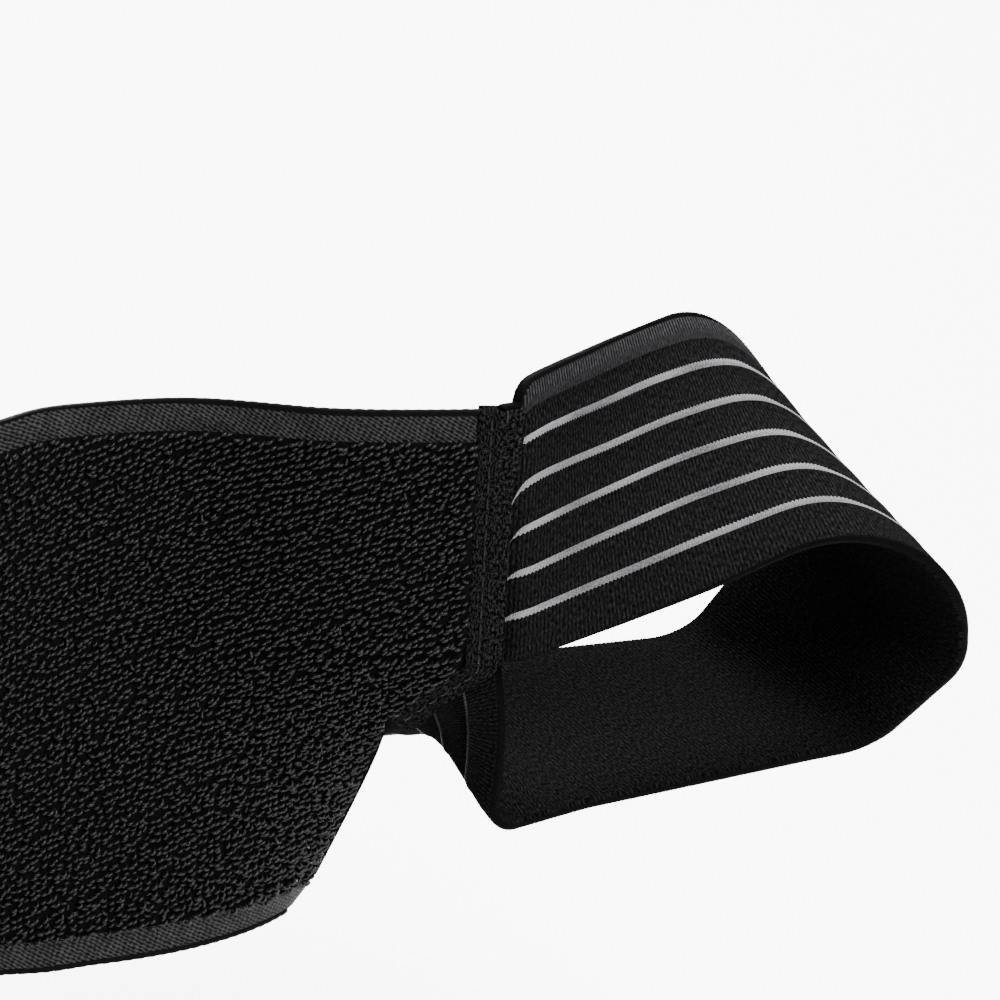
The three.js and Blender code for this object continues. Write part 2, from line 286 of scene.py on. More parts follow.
def swept(sections):
    """A closed solid through (stations, ring, 3) sections, with its points, faces and each face's row."""
    stations, ring = sections.shape[:2]
    index = np.arange(stations * ring).reshape(stations, ring)
    beside = np.roll(index, -1, axis=1)
    quads = np.stack([index[:-1], index[1:], beside[1:], beside[:-1]], axis=-1)
    places = np.broadcast_to(np.arange(ring), (stations - 1, ring))
    faces = quads.reshape(-1, 4).tolist() + [index[0].tolist(), index[-1, ::-1].tolist()]
    return sections.reshape(-1, 3), faces, np.append(places.ravel(), [ring - 1, ring - 1])


def tubes(centres, side, radius, sides=TUBE_SIDES):
    """Closed tubes of yarn along (tubes, rings, 3) centres; side points across each tube."""
    count, rings = centres.shape[:2]
    way = unit(np.gradient(centres, axis=1))
    side = unit(side - way * np.sum(side * way, axis=-1, keepdims=True))
    out = np.cross(way, side)
    angles = np.arange(sides) * 2 * math.pi / sides
    ring = np.cos(angles)[:, None] * side[:, :, None] + np.sin(angles)[:, None] * out[:, :, None]
    points = centres[:, :, None] + np.broadcast_to(radius, (count, rings))[..., None, None] * ring
    index = np.arange(count * rings * sides).reshape(count, rings, sides)
    beside = np.roll(index, -1, axis=2)
    quads = np.stack([index[:, :-1], beside[:, :-1], beside[:, 1:], index[:, 1:]], axis=-1)
    caps = np.concatenate([index[:, 0, ::-1], index[:, -1]])
    return points.reshape(-1, 3), quads.reshape(-1, 4).tolist() + caps.tolist()


def enclosed_volume(mesh):
    """The volume inside a closed mesh, below 0 where its faces look inwards."""
    solid = bmesh.new()
    solid.from_mesh(mesh)
    volume = solid.calc_volume(signed=True)
    solid.free()
    return volume


def piece(name, points, faces, looks, face_looks=None, uv=None):
    """A mesh object that rides on the part, with its looks and its cloth coordinates."""
    mesh = bpy.data.meshes.new(name)
    mesh.from_pydata(points * MM, [], faces)
    if enclosed_volume(mesh) < 0:
        mesh.flip_normals()
    for look in looks:
        mesh.materials.append(look)
    if face_looks is not None:
        mesh.polygons.foreach_set("material_index", np.asarray(face_looks, np.int32))
    mesh.polygons.foreach_set("use_smooth", np.ones(len(mesh.polygons), bool))
    if uv is not None:
        corners = np.empty(len(mesh.loops), np.int32)
        mesh.loops.foreach_get("vertex_index", corners)
        mesh.uv_layers.new(name="cloth").data.foreach_set("uv", uv[corners].astype(np.float32).ravel())
    mesh.update()
    made = bpy.data.objects.new(name, mesh)
    bpy.context.collection.objects.link(made)
    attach(made, BODY)
    return made


# The panel's surface

def panel_middle(run, drop):
    """Places on the middle of the panel's cloth, whose lower corner rolls back on a cone."""
    run, drop = np.broadcast_arrays(np.asarray(run, float), np.asarray(drop, float))
    depth = np.maximum(0, (drop - CURL_TOP) / (PANEL_WIDTH - CURL_TOP))
    curvature = np.maximum(depth ** CURL_POWER / CURL_RADIUS, 1e-7)
    rolled = np.maximum(0, CURL_START - run)
    x = np.where(rolled > 0, np.sin(curvature * rolled) / curvature - CURL_START, -run)
    y = (1 - np.cos(curvature * rolled)) / curvature
    top = table_curve(run, SWAY_RUN, SWAY_TOP)
    bottom = table_curve(run, SWAY_RUN, SWAY_BOTTOM)
    sway = top + (bottom - top) * drop / PANEL_WIDTH
    return np.stack([SEAM_X + x, SEAM_Y + y + sway, PANEL_TOP - drop], axis=-1)


def panel_frame(run, drop, step=0.5):
    """Unit directions along the panel towards the seam, up it, and out of its pile face."""
    along = unit(panel_middle(run - step, drop) - panel_middle(run + step, drop))
    up = unit(panel_middle(run, drop - step) - panel_middle(run, drop + step))
    return along, up, unit(np.cross(along, up))


def panel_point(run, drop, lift):
    face = panel_frame(run, drop)[2]
    return panel_middle(run, drop) + face * np.asarray(lift, float)[..., None]


def corner_inset(distance, radius):
    inside = np.clip(radius - distance, 0, radius)
    return radius - np.sqrt(radius ** 2 - inside ** 2)


def seam_end(drop):
    return np.interp(drop, END_DROP, END_RUN)


def free_end(drop):
    return PANEL_LENGTH - corner_inset(np.minimum(drop, PANEL_WIDTH - drop), PANEL_CORNER)


# The loop's surface

def loop_edges():
    turn = np.array([[math.cos(LOOP_TURN), -math.sin(LOOP_TURN), 0],
                     [math.sin(LOOP_TURN), math.cos(LOOP_TURN), 0],
                     [0, 0, 1]])

    def edge(corners, name):
        turned = [(turn @ np.array(corner[:3]), corner[3]) for corner in corners]
        start = panel_point(*INSTEP_END[name], 0.0)
        end = panel_point(*SOLE_END[name], SOLE_LIFT)
        return rounded_path([(start, 0)] + turned + [(end, 0)])

    return edge(REAR_EDGE, "rear"), edge(FRONT_EDGE, "front")


REAR_PATH, FRONT_PATH = loop_edges()
LOOP_LENGTH = (path_length(REAR_PATH)[-1] + path_length(FRONT_PATH)[-1]) / 2
SOLE_STRIPES = (LOOP_LENGTH - 75, LOOP_LENGTH - 45)
SOLE_TURNS_UP = (LOOP_LENGTH - 15, LOOP_LENGTH - 5)
SOLE_WAY = unit(panel_point(SOLE_END["middle"][0] + 1, SOLE_END["middle"][1] - 1, SOLE_LIFT)
                - panel_point(*SOLE_END["middle"], SOLE_LIFT))
SOLE_BOW = (panel_point(*SOLE_END["middle"], SOLE_LIFT)
            - (panel_point(*SOLE_END["rear"], SOLE_LIFT) + panel_point(*SOLE_END["front"], SOLE_LIFT)) / 2)


def loop_surface(share, over):
    """Places on the elastic's outer face: share runs round the loop, over from its rear edge to the front."""
    rear, front = path_point(REAR_PATH, share), path_point(FRONT_PATH, share)
    raw = np.linalg.norm(front - rear, axis=-1, keepdims=True)
    width = raw + (BAND_WIDTH - raw) * WIDTH_KEPT
    place = (rear + front) / 2 + (front - rear) / raw * (over[..., None] - 0.5) * width
    sewn = 4 * over * (1 - over) * smoothstep(share, SOLE_BOW_START, 1)
    across = np.clip((over - ARCH_REAR) / (1 - ARCH_REAR), 0, 1)
    along = smoothstep(share, *ARCH_BEGINS) * (1 - smoothstep(share, *ARCH_ENDS))
    arch = ARCH_RISE * np.sin(math.pi * across) ** 2 * along
    return place + sewn[..., None] * SOLE_BOW + arch[..., None] * np.array([0, 0, 1])


def loop_frame(share, over, step=0.002):
    """Unit directions round the loop, across it to its front edge, and out of its face."""
    last = np.minimum(share + step, 1)
    along = unit(loop_surface(last, over) - loop_surface(share - step, over))
    across = unit(loop_surface(share, over + step) - loop_surface(share, over - step))
    return along, across, unit(np.cross(across, along))


def loop_point(share, over, lift):
    return loop_surface(share, over) + loop_frame(share, over)[2] * lift[..., None]


# Materials

class Look:
    """A procedural cloth material on cloth coordinates in millimetres."""

    def __init__(self, name, roughness, specular):
        self.material = bpy.data.materials.new(name)
        self.material.use_nodes = True
        self.tree = self.material.node_tree
        self.shader = self.tree.nodes["Principled BSDF"]
        self.shader.inputs["Roughness"].default_value = roughness
        self.shader.inputs["Specular IOR Level"].default_value = specular
        self.height = None

    def node(self, kind, **values):
        made = self.tree.nodes.new(kind)
        for name, value in values.items():
            if name in made.inputs:
                made.inputs[name].default_value = value
            else:
                setattr(made, name, value)
        return made

    def link(self, source, target):
        self.tree.links.new(source, target)

    def cloth(self):
        return self.node("ShaderNodeUVMap", uv_map="cloth").outputs["UV"]

    def place(self):
        """The object's own coordinates, in millimetres."""
        scaled = self.node("ShaderNodeVectorMath", operation="SCALE")
        scaled.inputs["Scale"].default_value = 1 / MM
        self.link(self.node("ShaderNodeTexCoord").outputs["Object"], scaled.inputs[0])
        return scaled.outputs[0]

    def noise(self, place, scale, detail=2.0):
        made = self.node("ShaderNodeTexNoise", Scale=scale, Detail=detail)
        self.link(place, made.inputs["Vector"])
        return made.outputs["Fac"]

    def wave(self, place, pitch, turn=0.0, distortion=0.0):
        """Lines of one pitch; turn is the angle of their crossing direction."""
        turned = self.node("ShaderNodeMapping")
        turned.inputs["Rotation"].default_value[2] = -math.radians(turn)
        made = self.node("ShaderNodeTexWave", Scale=math.pi / 10 / pitch, Distortion=distortion)
        made.inputs["Phase Offset"].default_value = math.pi
        made.inputs["Detail Scale"].default_value = 1 / pitch
        self.link(place, turned.inputs["Vector"])
        self.link(turned.outputs["Vector"], made.inputs["Vector"])
        return made.outputs["Fac"]

    def stretched(self, place, across, along):
        """Coordinates scaled apart, so that what is laid on them runs into streaks."""
        made = self.node("ShaderNodeMapping")
        made.inputs["Scale"].default_value = (across, along, 1)
        self.link(place, made.inputs["Vector"])
        return made.outputs["Vector"]

    def axis(self, place, name):
        made = self.node("ShaderNodeSeparateXYZ")
        self.link(place, made.inputs[0])
        return made.outputs[name]

    def times(self, a, b):
        return self.combined("MULTIPLY", a, b)

    def plus(self, a, b):
        return self.combined("ADD", a, b)

    def combined(self, operation, a, b):
        """One number from two, each a number or the output of a node."""
        made = self.node("ShaderNodeMath", operation=operation)
        for value, socket in ((a, made.inputs[0]), (b, made.inputs[1])):
            if isinstance(value, (int, float)):
                socket.default_value = value
            else:
                self.link(value, socket)
        return made.outputs[0]

    def sharpened(self, factor, low, high):
        """The part of a factor between two levels, spread over its whole range."""
        made = self.node("ShaderNodeMapRange")
        made.inputs["From Min"].default_value = low
        made.inputs["From Max"].default_value = high
        self.link(factor, made.inputs["Value"])
        return made.outputs["Result"]

    def colour(self, factor, dark, light, low=0.3, high=0.7):
        ramp = self.node("ShaderNodeValToRGB")
        ramp.color_ramp.elements[0].position = low
        ramp.color_ramp.elements[1].position = high
        ramp.color_ramp.elements[0].color = (*dark, 1)
        ramp.color_ramp.elements[1].color = (*light, 1)
        self.link(factor, ramp.inputs["Fac"])
        self.link(ramp.outputs["Color"], self.shader.inputs["Base Color"])

    def bump(self, factor, depth, strength=1.0):
        made = self.node("ShaderNodeBump", Strength=strength, Distance=depth * MM)
        self.link(factor, made.inputs["Height"])
        if self.height is not None:
            self.link(self.height, made.inputs["Normal"])
        self.height = made.outputs["Normal"]
        self.link(self.height, self.shader.inputs["Normal"])


def grey(level):
    """A neutral colour with the faint coolness of black yarn."""
    return level, level, level * 1.05


def yarn_look(name, dark, light, roughness=0.55, fibre=6.0, specular=0.03):
    look = Look(name, roughness, specular)
    fibres = look.noise(look.place(), fibre, 4.0)
    look.colour(fibres, grey(dark), grey(light))
    look.bump(fibres, 0.06)
    return look.material


def rib_look(name, dark, light, ribbed, streaked):
    """Ribbed elastic: the ribs that the mesh carries, with uneven strokes of brighter yarn along them."""
    look = Look(name, 0.7, 0.001)
    cloth = look.cloth()
    ribs = look.wave(cloth, RIB_PITCH, 0, 0.5)
    strokes = look.sharpened(look.noise(look.stretched(cloth, 3.2, 1.1), 1.0, 2.0), 0.4, 0.72)
    fibres = look.noise(look.stretched(cloth, 3.8, 2.4), 1.0, 2.0)
    raised = look.plus(look.times(ribs, ribbed), 1 - ribbed)
    stroked = look.plus(look.times(strokes, streaked), 1 - streaked)
    uneven = look.times(stroked, look.plus(fibres, 0.5))
    look.colour(look.times(raised, uneven), grey(dark), grey(light), 0.02, 0.9)
    look.bump(strokes, 0.06)
    look.bump(fibres, 0.08)
    return look.material


def twill_look(name, dark, light, pitch, turn):
    """Flat woven selvage: slanting twill lines broken unevenly by the weft."""
    look = Look(name, 0.6, 0.015)
    cloth = look.cloth()
    lines = look.wave(cloth, pitch, turn, 3.6)
    weft = look.wave(cloth, pitch * 1.5, turn - 75, 4.0)
    grain = look.noise(cloth, 1.5, 2.0)
    patches = look.noise(cloth, 0.25, 2.0)
    woven = look.plus(look.times(lines, 0.6), look.times(weft, 0.3))
    uneven = look.times(grain, look.plus(patches, 0.6))
    look.colour(look.times(woven, look.times(uneven, 1.7)), grey(dark), grey(light), 0.12, 0.85)
    look.bump(woven, 0.16)
    look.bump(grain, 0.1)
    return look.material


def knit_look(name, dark, light, pitch):
    """Plain knitted back or binding: columns of small uneven stitches."""
    look = Look(name, 0.7, 0.03)
    cloth = look.cloth()
    columns = look.wave(cloth, pitch, 0, 2.5)
    courses = look.wave(cloth, pitch * 0.8, 90, 2.5)
    stitches = look.times(columns, courses)
    speckle = look.noise(cloth, 1.1, 4.0)
    look.colour(look.times(stitches, look.times(speckle, 1.6)), grey(dark), grey(light), 0.05, 0.75)
    look.bump(stitches, 0.14)
    look.bump(speckle, 0.12)
    return look.material


def binding_look():
    """Seam strip: a dark cloth of small uneven stitches along it, few of them catching the light."""
    look = Look("strip_knit", 0.7, 0.0)
    cloth = look.cloth()
    strands = look.noise(look.stretched(cloth, 3.4, 1.4), 1.0, 3.0)
    grain = look.noise(cloth, 4.6, 2.0)
    uneven = look.plus(look.times(strands, 0.65), look.times(grain, 0.35))
    look.colour(uneven, grey(0.0004), grey(0.0125), 0.46, 0.73)
    look.bump(strands, 0.26)
    look.bump(grain, 0.13)
    return look.material


def stripe_look():
    """Silver-grey stripe: bright yarn floats along the ribs, dull where slack, with a painted highlight past
    the crown and near the seam, and painted shade over the sole end.
    """
    look = Look("silver_stripe", 0.5, 0.04)
    cloth = look.cloth()
    floats = look.wave(cloth, RIB_PITCH / 2, 12, 1.5)
    flecks = look.sharpened(look.noise(cloth, 2.6, 2.0), 0.35, 0.65)
    slack = look.noise(look.stretched(cloth, 0.06, 0.12), 1.0, 1.0)
    around = look.axis(cloth, "X")
    turned = look.plus(around, look.times(look.axis(cloth, "Y"), -TAUT_SLANT))
    # Painted highlight: the stripes' colour is brightened past the crown, and near the seam as well
    painted_highlight = look.times(look.sharpened(turned, *TAUT_BEGINS), look.sharpened(turned, *TAUT_ENDS))
    painted_highlight = look.plus(painted_highlight, look.sharpened(around, *START_HIGHLIGHT))
    # Painted shade: the stripes over the sole end are darkened, less where the strap turns up into view
    sole = look.sharpened(around, *SOLE_STRIPES)
    shown = look.sharpened(look.axis(cloth, "Y"), *SOLE_SHOWN)
    shown = look.times(look.sharpened(around, *SOLE_TURNS_UP), shown)
    painted_sole_shade = look.plus(look.times(shown, SOLE_DEEPER_SHADE), -SOLE_SHADE - SOLE_DEEPER_SHADE)
    kept = look.plus(look.times(sole, painted_sole_shade), 1.0)
    yarn = look.plus(look.times(floats, 0.16), look.times(flecks, 0.35))
    light = look.plus(look.times(slack, 0.9), look.times(painted_highlight, 0.3))
    bright = look.times(look.plus(yarn, light), look.times(kept, 0.6))
    look.colour(bright, grey(0.003), grey(0.121), 0.145, 1.0)
    look.bump(floats, 0.06)
    return look.material


LOOKS = {
    "band_edge": yarn_look("band_edge", 0.0001, 0.0014, specular=0.004),
    "band_selvage": rib_look("band_selvage", 0.0002, 0.017, 0.9, 0.6),
    "band_plain": rib_look("band_plain", 0.0006, 0.0095, 0.35, 0.6),
    "band_lane": rib_look("band_lane", 0.0001, 0.0058, 0.6, 0.8),
    "band_inner": rib_look("band_inner", 0.0002, 0.004, 0.45, 0.9),
    "stripe": stripe_look(),
    "panel_edge": yarn_look("panel_edge", 0.0001, 0.0014, specular=0.01),
    "panel_selvage": twill_look("panel_selvage", 0.0003, 0.013, 0.62, 55),
    "pile_ground": yarn_look("pile_ground", 0.0005, 0.0019, specular=0.0),
    "panel_back": knit_look("panel_back", 0.0004, 0.009, 1.1),
    "pile_yarn": yarn_look("pile_yarn", 0.0011, 0.004, 0.4, 4.0, 0.08),
    "strip": binding_look(),
    "thread": yarn_look("thread", 0.001, 0.004, 0.5),
    "seam_thread": yarn_look("seam_thread", 0.0015, 0.0065, 0.5),
    "hook_base": knit_look("hook_base", 0.0006, 0.003, 0.8),
    "hook_nib": yarn_look("hook_nib", 0.001, 0.003, 0.35, 2.0, 0.2),
}


# Elastic band

# A row's stripe value is how far it moves to the stripe's lower edge where the stripe narrows to nothing
# Its tooth is plus on a stripe's lower edge, which is toothed near the seam,
# and minus on the upper edge, which is toothed further on
BandRow = namedtuple("BandRow", "at lift rib tooth stripe look")


def band_row(at, lift, look, rib=1.0, tooth=0.0, stripe=0):
    return BandRow(at, lift, rib, tooth, stripe, look)


def band_rows():
    """Rows from the rear edge over the outer face and back inside, each with the look of what follows it."""
    rows = [
        band_row(0, -1.3, "band_edge", 0),
        band_row(0, -0.5, "band_edge", 1.5),
        band_row(0.2, 0.0, "band_edge", 1.5),
        band_row(0.5, 0.1, "band_edge", 1.5),
        band_row(BAND_EDGE, -0.06, "band_selvage", 0.2),
        band_row(BAND_EDGE + 0.25, 0.08, "band_selvage", 1.5),
        band_row(SELVAGE_RIBBED, 0.1, "band_plain", 1.2),
        band_row(BAND_SELVAGE - 0.3, 0.06, "band_plain", 0.8),
        band_row(BAND_SELVAGE, -0.08, "band_lane", 0.6),
    ]
    half = STRIPE_WIDTH / 2
    before = BAND_SELVAGE
    for centre in STRIPES:
        rows += [
            band_row((before + centre - half) / 2, 0.03, "band_lane"),
            band_row(centre - half - 0.12, -0.03, "band_lane", 0.6, -1, STRIPE_WIDTH),
            band_row(centre - half, STRIPE_RISE * 0.7, "stripe", 0.2, -1, STRIPE_WIDTH - 0.12),
            band_row(centre, STRIPE_RISE, "stripe", 0.35, 0, half - 0.12),
            band_row(centre + half - 0.1, STRIPE_RISE * 0.6, "band_lane", 0.5, 1),
            band_row(centre + half + 0.25, 0, "band_lane", 0.8),
        ]
        before = centre + half
    rows += [
        band_row(45.2, 0.03, "band_lane"),
        band_row(47.6, 0, "band_lane", 0.8),
        band_row(48.0, -0.06, "band_lane", 0.8),
        band_row(48.5, 0.04, "band_lane", 0.8),
        band_row(49.5, 0.0, "band_edge", 0.5),
        band_row(BAND_WIDTH, -0.5, "band_edge", 0.3),
        band_row(BAND_WIDTH, -1.3, "band_inner", 0),
    ]
    inner = np.linspace(BAND_WIDTH - 0.6, 0.6, 8)
    return rows + [band_row(at, -ELASTIC_THICKNESS, "band_inner", -1) for at in inner]


def elastic_band():
    rows = band_rows()
    at, lift, rib, tooth, stripe = (np.array([row[k] for row in rows], float) for k in range(5))
    ribs = round(LOOP_LENGTH / RIB_PITCH)
    around = np.linspace(-START_TUCK, LOOP_LENGTH + SOLE_TUCK, ribs * RIB_SAMPLES + 1)[:, None]
    crest = 0.5 + 0.5 * np.cos(2 * math.pi * around / RIB_PITCH)

    # Near the seam the rows are drawn down and the stripes narrow from above
    corner = corner_inset(np.maximum(around, 0), CORNER_ROUND)
    past = np.maximum(around + START_SHOWS, 0)
    keys = [0, *STRIPES, BAND_WIDTH]
    pull = np.interp(at, keys, START_PULL) * np.exp(-past / START_REACH)
    shift = np.interp(at, keys, START_SHIFT) * table_curve(around, *zip(*START_FADE))
    crown = np.exp(-((around - CROWN_AT) / CROWN_REACH) ** 2)
    crown = np.interp(at, [0, BAND_EDGE, *keys[1:]], CROWN_SHIFT) * crown
    drawn = pull + shift + crown + corner * (1 - smoothstep(at, 0, STRIPES[0]))
    taper = (1 - smoothstep(past, 0, STRIPE_TAPER)) ** 1.5 * np.interp(at, STRIPES, STRIPE_POINTED)

    # They are narrow at the sole too, and where they are taut past the crown
    taper = taper + SOLE_NARROWED * smoothstep(around, *SOLE_STRIPES)
    turned = around - TAUT_SLANT * at
    taper = taper + TAUT_NARROWED * smoothstep(turned, *TAUT_BEGINS) * smoothstep(turned, *TAUT_ENDS)
    crossed = smoothstep(around, *TEETH_CROSS)
    teeth = TOOTH * tooth * np.where(tooth > 0, 1 - crossed, crossed)
    places = at + teeth * (crest - 0.5) * (1 - taper) + taper * stripe + drawn

    bulge = table_curve(around, *zip(*START_LIFT))
    bulge = np.minimum(bulge, 0) + np.maximum(bulge, 0) * smoothstep(at, 0, STRIPES[0])
    lifts = lift + RIB_RISE * rib * crest + bulge
    share = np.broadcast_to(np.minimum(around / LOOP_LENGTH, 1), places.shape)
    tucked = np.maximum(around - LOOP_LENGTH, 0)[..., None]
    sections = loop_point(share, places / BAND_WIDTH, lifts) + tucked * SOLE_WAY
    points, faces, ring_places = swept(sections)
    uv = np.stack([np.broadcast_to(around, places.shape), places], axis=-1).reshape(-1, 2)
    names = ["band_edge", "band_selvage", "band_plain", "band_lane", "stripe", "band_inner"]
    row_looks = np.array([names.index(row.look) for row in rows])
    looks = [LOOKS[name] for name in names]
    band = piece("elastic_band", points, faces, looks, row_looks[ring_places], uv)
    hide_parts("foot_loop")
    return band


# Wrap panel

def panel_rows():
    """Drop, lift and look of each row, down the pile face and back up the other."""
    upper = [(0.4, 0.1, "panel_selvage"), (0.5, SELVAGE_FACE - 0.2, "panel_selvage"),
             (1.4, SELVAGE_FACE, "panel_selvage"), (3.6, SELVAGE_FACE, "panel_selvage"),
             (SELVAGE_WIDTH, SELVAGE_FACE, "pile_ground"), (6.4, GROUND_FACE, "pile_ground")]
    field = [(drop, GROUND_FACE, "pile_ground") for drop in np.arange(10, 91, 4)]
    lower_looks = ["pile_ground"] + ["panel_selvage"] * 5
    lower = [(PANEL_WIDTH - drop, lift, look) for (drop, lift, _), look in zip(reversed(upper), lower_looks)]
    back = [(drop, -PANEL_BACK, "panel_back") for drop in np.linspace(PANEL_WIDTH - SELVAGE_WIDTH, 10, 22)]
    behind_upper = [(drop, -PANEL_BACK, "panel_selvage") for drop in (SELVAGE_WIDTH, 0.6)]
    return upper + field + lower + [(PANEL_WIDTH - 0.6, -PANEL_BACK, "panel_selvage")] + back + behind_upper


def panel_base():
    rows = panel_rows()
    drop, lift = (np.array([row[k] for row in rows], float) for k in (0, 1))
    share = np.linspace(0, 1, PANEL_COLUMNS + 1)[:, None]
    run = seam_end(drop) + (free_end(drop) - seam_end(drop)) * share
    drops = np.broadcast_to(drop, run.shape)
    sections = panel_point(run, drops, np.broadcast_to(lift, run.shape))
    points, faces, ring_places = swept(sections)
    names = ["panel_selvage", "pile_ground", "panel_back"]
    row_looks = np.array([names.index(row[2]) for row in rows])
    uv = np.stack([-run, -drops], axis=-1).reshape(-1, 2)
    looks = [LOOKS[name] for name in names]
    base = piece("panel_base", points, faces, looks, row_looks[ring_places], uv)
    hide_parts("wrap_panel")
    return base


def rolled_edges():
    """The panel's long edges and round end, rolled and caught at each tick of their overcast thread."""
    made = []
    half = ROLLED_EDGE / 2
    angles = np.linspace(0, 2 * math.pi, 9)[:-1]
    for name, drop in (("upper", half), ("lower", PANEL_WIDTH - half)):
        corner = (PANEL_LENGTH - half, drop)
        middle = (PANEL_LENGTH - half, PANEL_WIDTH / 2)
        path = rounded_path([((seam_end(drop), drop), 0), (corner, PANEL_CORNER - half), (middle, 0)])
        place = path_point(path, np.linspace(0, 1, EDGE_STATIONS))
        caught = (0.5 + 0.5 * np.cos(2 * math.pi * path_length(place) / EDGE_TICK_PITCH)) ** 2
        thin = EDGE_THINNED * smoothstep(place[:, 0], *EDGE_THINS) * (name == "upper")
        radius = ((half - EDGE_TICK * caught) * (1 - thin))[:, None]
        way = unit(np.gradient(place, axis=0))
        runs = place[:, :1] - way[:, 1:] * radius * np.cos(angles)
        drops = place[:, 1:] + way[:, :1] * radius * np.cos(angles)
        sections = panel_point(runs, drops, ROLLED_LIFT + radius * np.sin(angles))
        points, faces, _ = swept(sections)
        made.append(piece(f"rolled_edge_{name}", points, faces, [LOOKS["panel_edge"]]))
    return made


def pile_lattice():
    """Runs and drops of the loops, on a slanting lattice over the pile field."""
    along = int(PANEL_LENGTH / PILE_ROW[0] / 2) + 5
    down = int((PANEL_WIDTH / 2 + along * PILE_ROW[1]) / -PILE_STEP[1]) + 5
    i, j = np.meshgrid(np.arange(-along, along), np.arange(-down, down))
    run = PANEL_LENGTH / 2 - i * PILE_ROW[0] - j * PILE_STEP[0]
    drop = PANEL_WIDTH / 2 - i * PILE_ROW[1] - j * PILE_STEP[1]
    return run.ravel(), drop.ravel()


def pile_loops(random):
    run, drop = pile_lattice()
    run = run + random.normal(0, PILE_STRAY_RUN, run.shape)
    drop = drop + random.normal(0, PILE_STRAY_DROP, drop.shape)
    top = SELVAGE_WIDTH + PILE_MARGIN
    clear = PILE_SPAN / 2 + 0.2
    inside = ((drop > top) & (drop < PANEL_WIDTH - top)
              & (run > seam_end(drop) + clear) & (run < free_end(drop) - clear))
    run, drop = run[inside], drop[inside]

    # The loops lie looser and more crossed towards the lower edge
    loose = 0.6 + 0.9 * drop / PANEL_WIDTH
    stray = random.random(run.shape) < STRAY_SHARE * loose
    turned = random.normal(0, PILE_TURN, run.shape) * loose
    rise = np.radians(PILE_RISE + turned + stray * random.normal(0, STRAY_TURN, run.shape))
    span = PILE_SPAN * (1 + random.normal(0, SPAN_UNEVEN, run.shape))
    uneven = random.normal(0, HEIGHT_UNEVEN, run.shape) * loose
    height = PILE_HEIGHT * (1 + uneven + STRAY_HEIGHT * stray)
    yarn = PILE_YARN * (1 + random.normal(0, YARN_UNEVEN, run.shape))
    flattened = smoothstep(run - seam_end(drop), 0, CUT_REACH)
    height = height * np.where(drop > STRIP_LINE[-1][1], CUT_HEIGHT + (1 - CUT_HEIGHT) * flattened, 1)
    sag = random.normal(0, PILE_SAG, run.shape) * loose

    along, up, face = panel_frame(run, drop)
    ahead = along * np.cos(rise)[:, None] + up * np.sin(rise)[:, None]
    side = np.cross(face, ahead)
    share = np.linspace(0, 1, PILE_RINGS)
    arch = (1 - (2 * share - 1) ** 2) ** 0.75
    foot = panel_middle(run, drop) + face * (GROUND_FACE - PILE_YARN * 0.6)
    centres = (foot[:, None] + ahead[:, None] * ((share - 0.5) * span[:, None])[..., None]
               + face[:, None] * (arch * height[:, None])[..., None]
               + side[:, None] * (np.sin(math.pi * share) * sag[:, None])[..., None])
    thick = yarn[:, None] * (0.62 + 0.38 * arch)
    across = np.broadcast_to(side[:, None], centres.shape)

    pieces = []
    edges = np.linspace(0, PANEL_LENGTH, PILE_PIECES + 1)
    for number, (first, last) in enumerate(zip(edges, edges[1:]), 1):
        here = (run >= first) & (run < last)
        points, faces = tubes(centres[here], across[here], thick[here], PILE_SIDES)
        pieces.append(piece(f"pile_loops_{number}", points, faces, [LOOKS["pile_yarn"]]))
    return pieces


# Sewing

def stitches(name, places, out, slot, look="thread", length=2.1, yarn=0.19, pitch=2.7):
    """Straight stitches along a line of places, each a short arched tube that dips into the cloth."""
    lengths = path_length(places)
    count = int(lengths[-1] // pitch)
    starts = (np.arange(count) + 0.5) * lengths[-1] / count
    share = np.linspace(-0.5, 0.5, 6)
    at = starts[:, None] + share * length
    centre = np.stack([np.interp(at, lengths, column) for column in places.T], axis=-1)
    normal = unit(np.stack([np.interp(at, lengths, column) for column in out.T], axis=-1))
    arch = 1 - (2 * share) ** 4
    centre = centre + normal * (yarn * (1.7 * arch - 0.9))[None, :, None]
    side = np.cross(normal, np.gradient(centre, axis=1))
    points, faces = tubes(centre, side, yarn * (0.6 + 0.4 * arch))
    return piece(name, points, faces, [LOOKS[look]])


def panel_stitches(name, run, drop, lift, slot, look="thread"):
    face = panel_frame(run, drop)[2]
    return stitches(name, panel_point(run, drop, lift), face * np.sign(lift)[..., None], slot, look)


# Seam strip

def strip_line(share):
    """Run, drop and the way to the pile side of places along the strip's middle."""
    path = rounded_path([(np.array(corner, float), STRIP_CORNER) for corner in STRIP_LINE])
    place = path_point(path, share)
    way = unit(np.gradient(place, axis=0))
    return place, np.stack([way[:, 1], -way[:, 0]], axis=-1)


